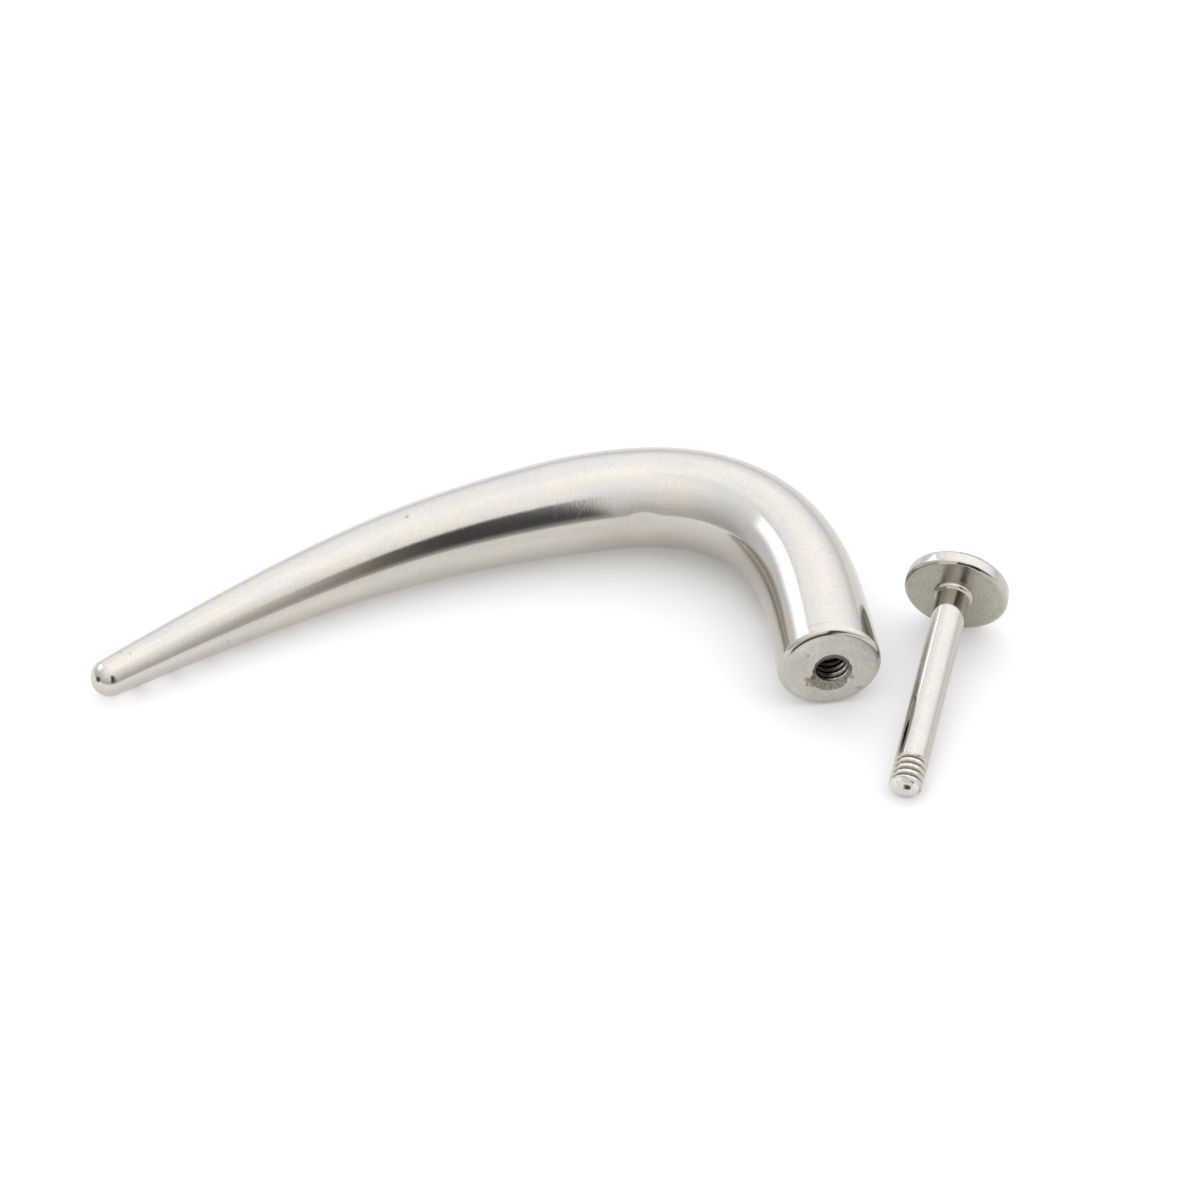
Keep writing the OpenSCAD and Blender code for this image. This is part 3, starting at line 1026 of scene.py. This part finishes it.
# Painted light: the sheet glows, a little warm, brighter towards the horn's tip
towards_tip = add(tree, "MapRange", in_0=along_table, in_1=14.0, in_2=-24.0).outputs[0]
painted_table_light = mixed(tree, towards_tip, (0.218, 0.213, 0.200), (0.350, 0.346, 0.336))
outside_painted_bend_shadow = 1.0
# Painted shadow: the sheet's glow is darkened right under the horn's bend
for distance, share in PAINTED_SHADOW_UNDER_BEND.items():
    shade = times(tree, soft_step(tree, from_horn(distance), 3.1, 1.0), share)
    outside_painted_bend_shadow = times(tree, minus(tree, 1.0, shade), outside_painted_bend_shadow)
painted_table_light = mixed(tree, outside_painted_bend_shadow, (0.09, 0.087, 0.08), painted_table_light)
nearest = from_horn(ALONG_ARM[0])
for distance in ALONG_ARM[1:]:
    nearest = calc(tree, "MINIMUM", nearest, from_horn(distance))
# Painted shadow: the glow is darkened in a band beside the horn's arm
painted_shadow_beside_arm = times(tree, soft_step(tree, nearest, 0.6, 1.9), soft_step(tree, nearest, 4.8, 2.5))
painted_table_light = mixed(tree, painted_shadow_beside_arm, painted_table_light, (0.265, 0.262, 0.254))
# Painted light: the glow is brightened right under the thin tip
painted_light_under_tip = times(tree, soft_step(tree, nearest, 1.3, 0.4),
                  soft_step(tree, along_table, -14.5, -19.5))
painted_table_light = mixed(tree, painted_light_under_tip, painted_table_light, (0.50, 0.495, 0.485))
tree.links.new(painted_table_light, sheet["Emission Color"])
print("table material:", len(tree.nodes), "nodes")

# %% [markdown]
# ## The light tent
# Polished steel shows nothing but its surroundings, so the light is most of the likeness.
# Lamps would give hard round highlights. Here the whole sky is the lamp, as in a light tent:
# white overhead, greyer towards the horizon in front, with one bright window behind on the
# left and one dark opening in front, on the right, where the camera looks in. That opening is
# the charcoal stripe along the horn. Each part is a soft step in height or in direction.

# %% Directions in the tent
DEGREE = math.radians(1)
world = bpy.data.worlds.new("light_tent")
bpy.context.scene.world = world
world.use_nodes = True
sky = world.node_tree
direction = add(sky, "TexCoord").outputs["Generated"]
east, north, up = parts_of(sky, direction)
# Height above the horizon, in degrees
height = calc(sky, "DIVIDE", calc(sky, "ARCSINE", up), DEGREE)
# Direction round the horizon, in degrees: 0 towards the viewer, positive to the right
compass = calc(sky, "ARCTAN2", east, times(sky, north, -1.0))
compass = calc(sky, "DIVIDE", compass, DEGREE)


def toward(way, rise):
    """The direction with that compass way and that height, in degrees."""
    way, rise = math.radians(way), math.radians(rise)
    level = math.cos(rise)
    return Vector((math.sin(way) * level, -math.cos(way) * level, math.sin(rise)))


# %% Walls and ceiling
BRIGHTEST = 2.2
SKY_STRENGTH = 2.04
FRONT = [(0, 0.78, 0), (6, 0.80, 0), (14, 0.87, 0), (25, 1.06, 0), (36, 1.26, 0.2),
         (50, 1.42, 0.4), (66, 1.66, 0.5), (90, 1.80, 0.5)]
BACK = [(0, 1.00, 1), (5, 1.15, 1), (14, 1.47, 0.9), (30, 1.80, 0.6), (44, 1.92, 0.5),
        (54, 1.94, 0.4), (64, 1.98, 0.5), (75, 1.95, 0.5), (90, 1.81, 0.5)]
BACK_MIDDLE = 145.0


def wall(stops):
    """The tent's brightness by height: (degrees, brightness, coolness) from the horizon up."""
    node = add(sky, "ValToRGB", in_0=calc(sky, "DIVIDE", height, 90.0))
    node.color_ramp.interpolation = "CARDINAL"
    elements = node.color_ramp.elements
    while len(elements) < len(stops):
        elements.new(0.5)
    for element, (rise, level, cool) in zip(elements, stops):
        level /= BRIGHTEST
        element.position = rise / 90
        element.color = (level * (1.01 - 0.04 * cool), level, level * (0.99 + 0.09 * cool), 1)
    return node.outputs["Color"]


around = times(sky, minus(sky, compass, BACK_MIDDLE), DEGREE)
at_back = soft_step(sky, calc(sky, "COSINE", around), -0.1, 0.4)
tent = mixed(sky, at_back, wall(FRONT), wall(BACK))

# %% The dark opening in front, on the right
leaning_edge = minus(sky, compass, times(sky, height, 0.07))
past_middle = calc(sky, "MAXIMUM", minus(sky, compass, 18.0), 0.0)
sloping_top = plus(sky, height, times(sky, past_middle, 0.5))
opening = times(sky, soft_step(sky, leaning_edge, 7.6, 9.8), soft_step(sky, compass, 47.5, 31.5),
                soft_step(sky, sloping_top, 56.5, 50.0), soft_step(sky, height, -6, 16))
inside = mixed(sky, soft_step(sky, compass, 22, 36), (0.040, 0.041, 0.045), (0.118, 0.103, 0.090))
tent = mixed(sky, opening, tent, inside)

# %% Patches of the sky
WINDOW = toward(-124, 33)
WINDOW_UP = (toward(-110, 45) - toward(-138, 21)).normalized()
WINDOW_ACROSS = WINDOW.cross(WINDOW_UP).normalized()


def lean(to):
    """The cosine of the angle between the sky's direction and a given one."""
    return vector_calc(sky, "DOT_PRODUCT", direction, to)


def round_patch(middle, outside, inside):
    """0 beyond one angle from its middle and 1 within another, in degrees."""
    return soft_step(sky, lean(middle), math.cos(outside * DEGREE), math.cos(inside * DEGREE))


def window_patch(low, high, far_end, near_end):
    """A four-sided patch round the window, from four (outside, inside) pairs of angles."""
    patch = soft_step(sky, lean(WINDOW), 0.2, 0.5)
    for to, sides in ((WINDOW_ACROSS, (low, high)), (WINDOW_UP, (far_end, near_end))):
        for outside, inside in sides:
            side = soft_step(sky, lean(to), math.sin(outside * DEGREE), math.sin(inside * DEGREE))
            patch = times(sky, patch, side)
    return patch


# %% The bright window behind, on the left, and the dimmer wall beside it
HALO_LIGHT = tuple(1.45 * c / BRIGHTEST for c in (0.95, 1, 1.12))
WINDOW_LIGHT = tuple(c / BRIGHTEST for c in (2.60, 2.70, 2.95))

tent = layered(sky, tent, (round_patch(WINDOW, 52, 16), 0.45, HALO_LIGHT))
dim = times(sky, round_patch(toward(-75, 20), 38, 10), 0.13)
frame_round = times(sky, window_patch((-30, -8), (19, 12), (-40, -20), (24, 6)), 0.10)
shade = minus(sky, 1.0, plus(sky, dim, frame_round))
grey = add(sky, "CombineColor", in_0=shade, in_1=shade, in_2=shade).outputs[0]
tent = tinted(sky, 1.0, tent, grey)
window = window_patch((-17.5, -3.0), (11.3, 8.8), (-19, -13), (19, 12))
tent = mixed(sky, window, tent, WINDOW_LIGHT)

# %% The sky itself
background = sky.nodes["Background"]
sky.links.new(tent, background.inputs["Color"])
background.inputs["Strength"].default_value = SKY_STRENGTH
bpy.context.scene.view_settings.view_transform = "Standard"
print("sky nodes:", len(sky.nodes))

# %% [markdown]
# ## Handing over
# Each piece rides on the part's one body and stands for its CAD node, which is hidden.

# %% Ride and replace
for piece, node, slot in ((claw, "claw", "claw_steel"), (stud, "labret_stud", "stud_steel")):
    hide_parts(node)
    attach(piece, "root")
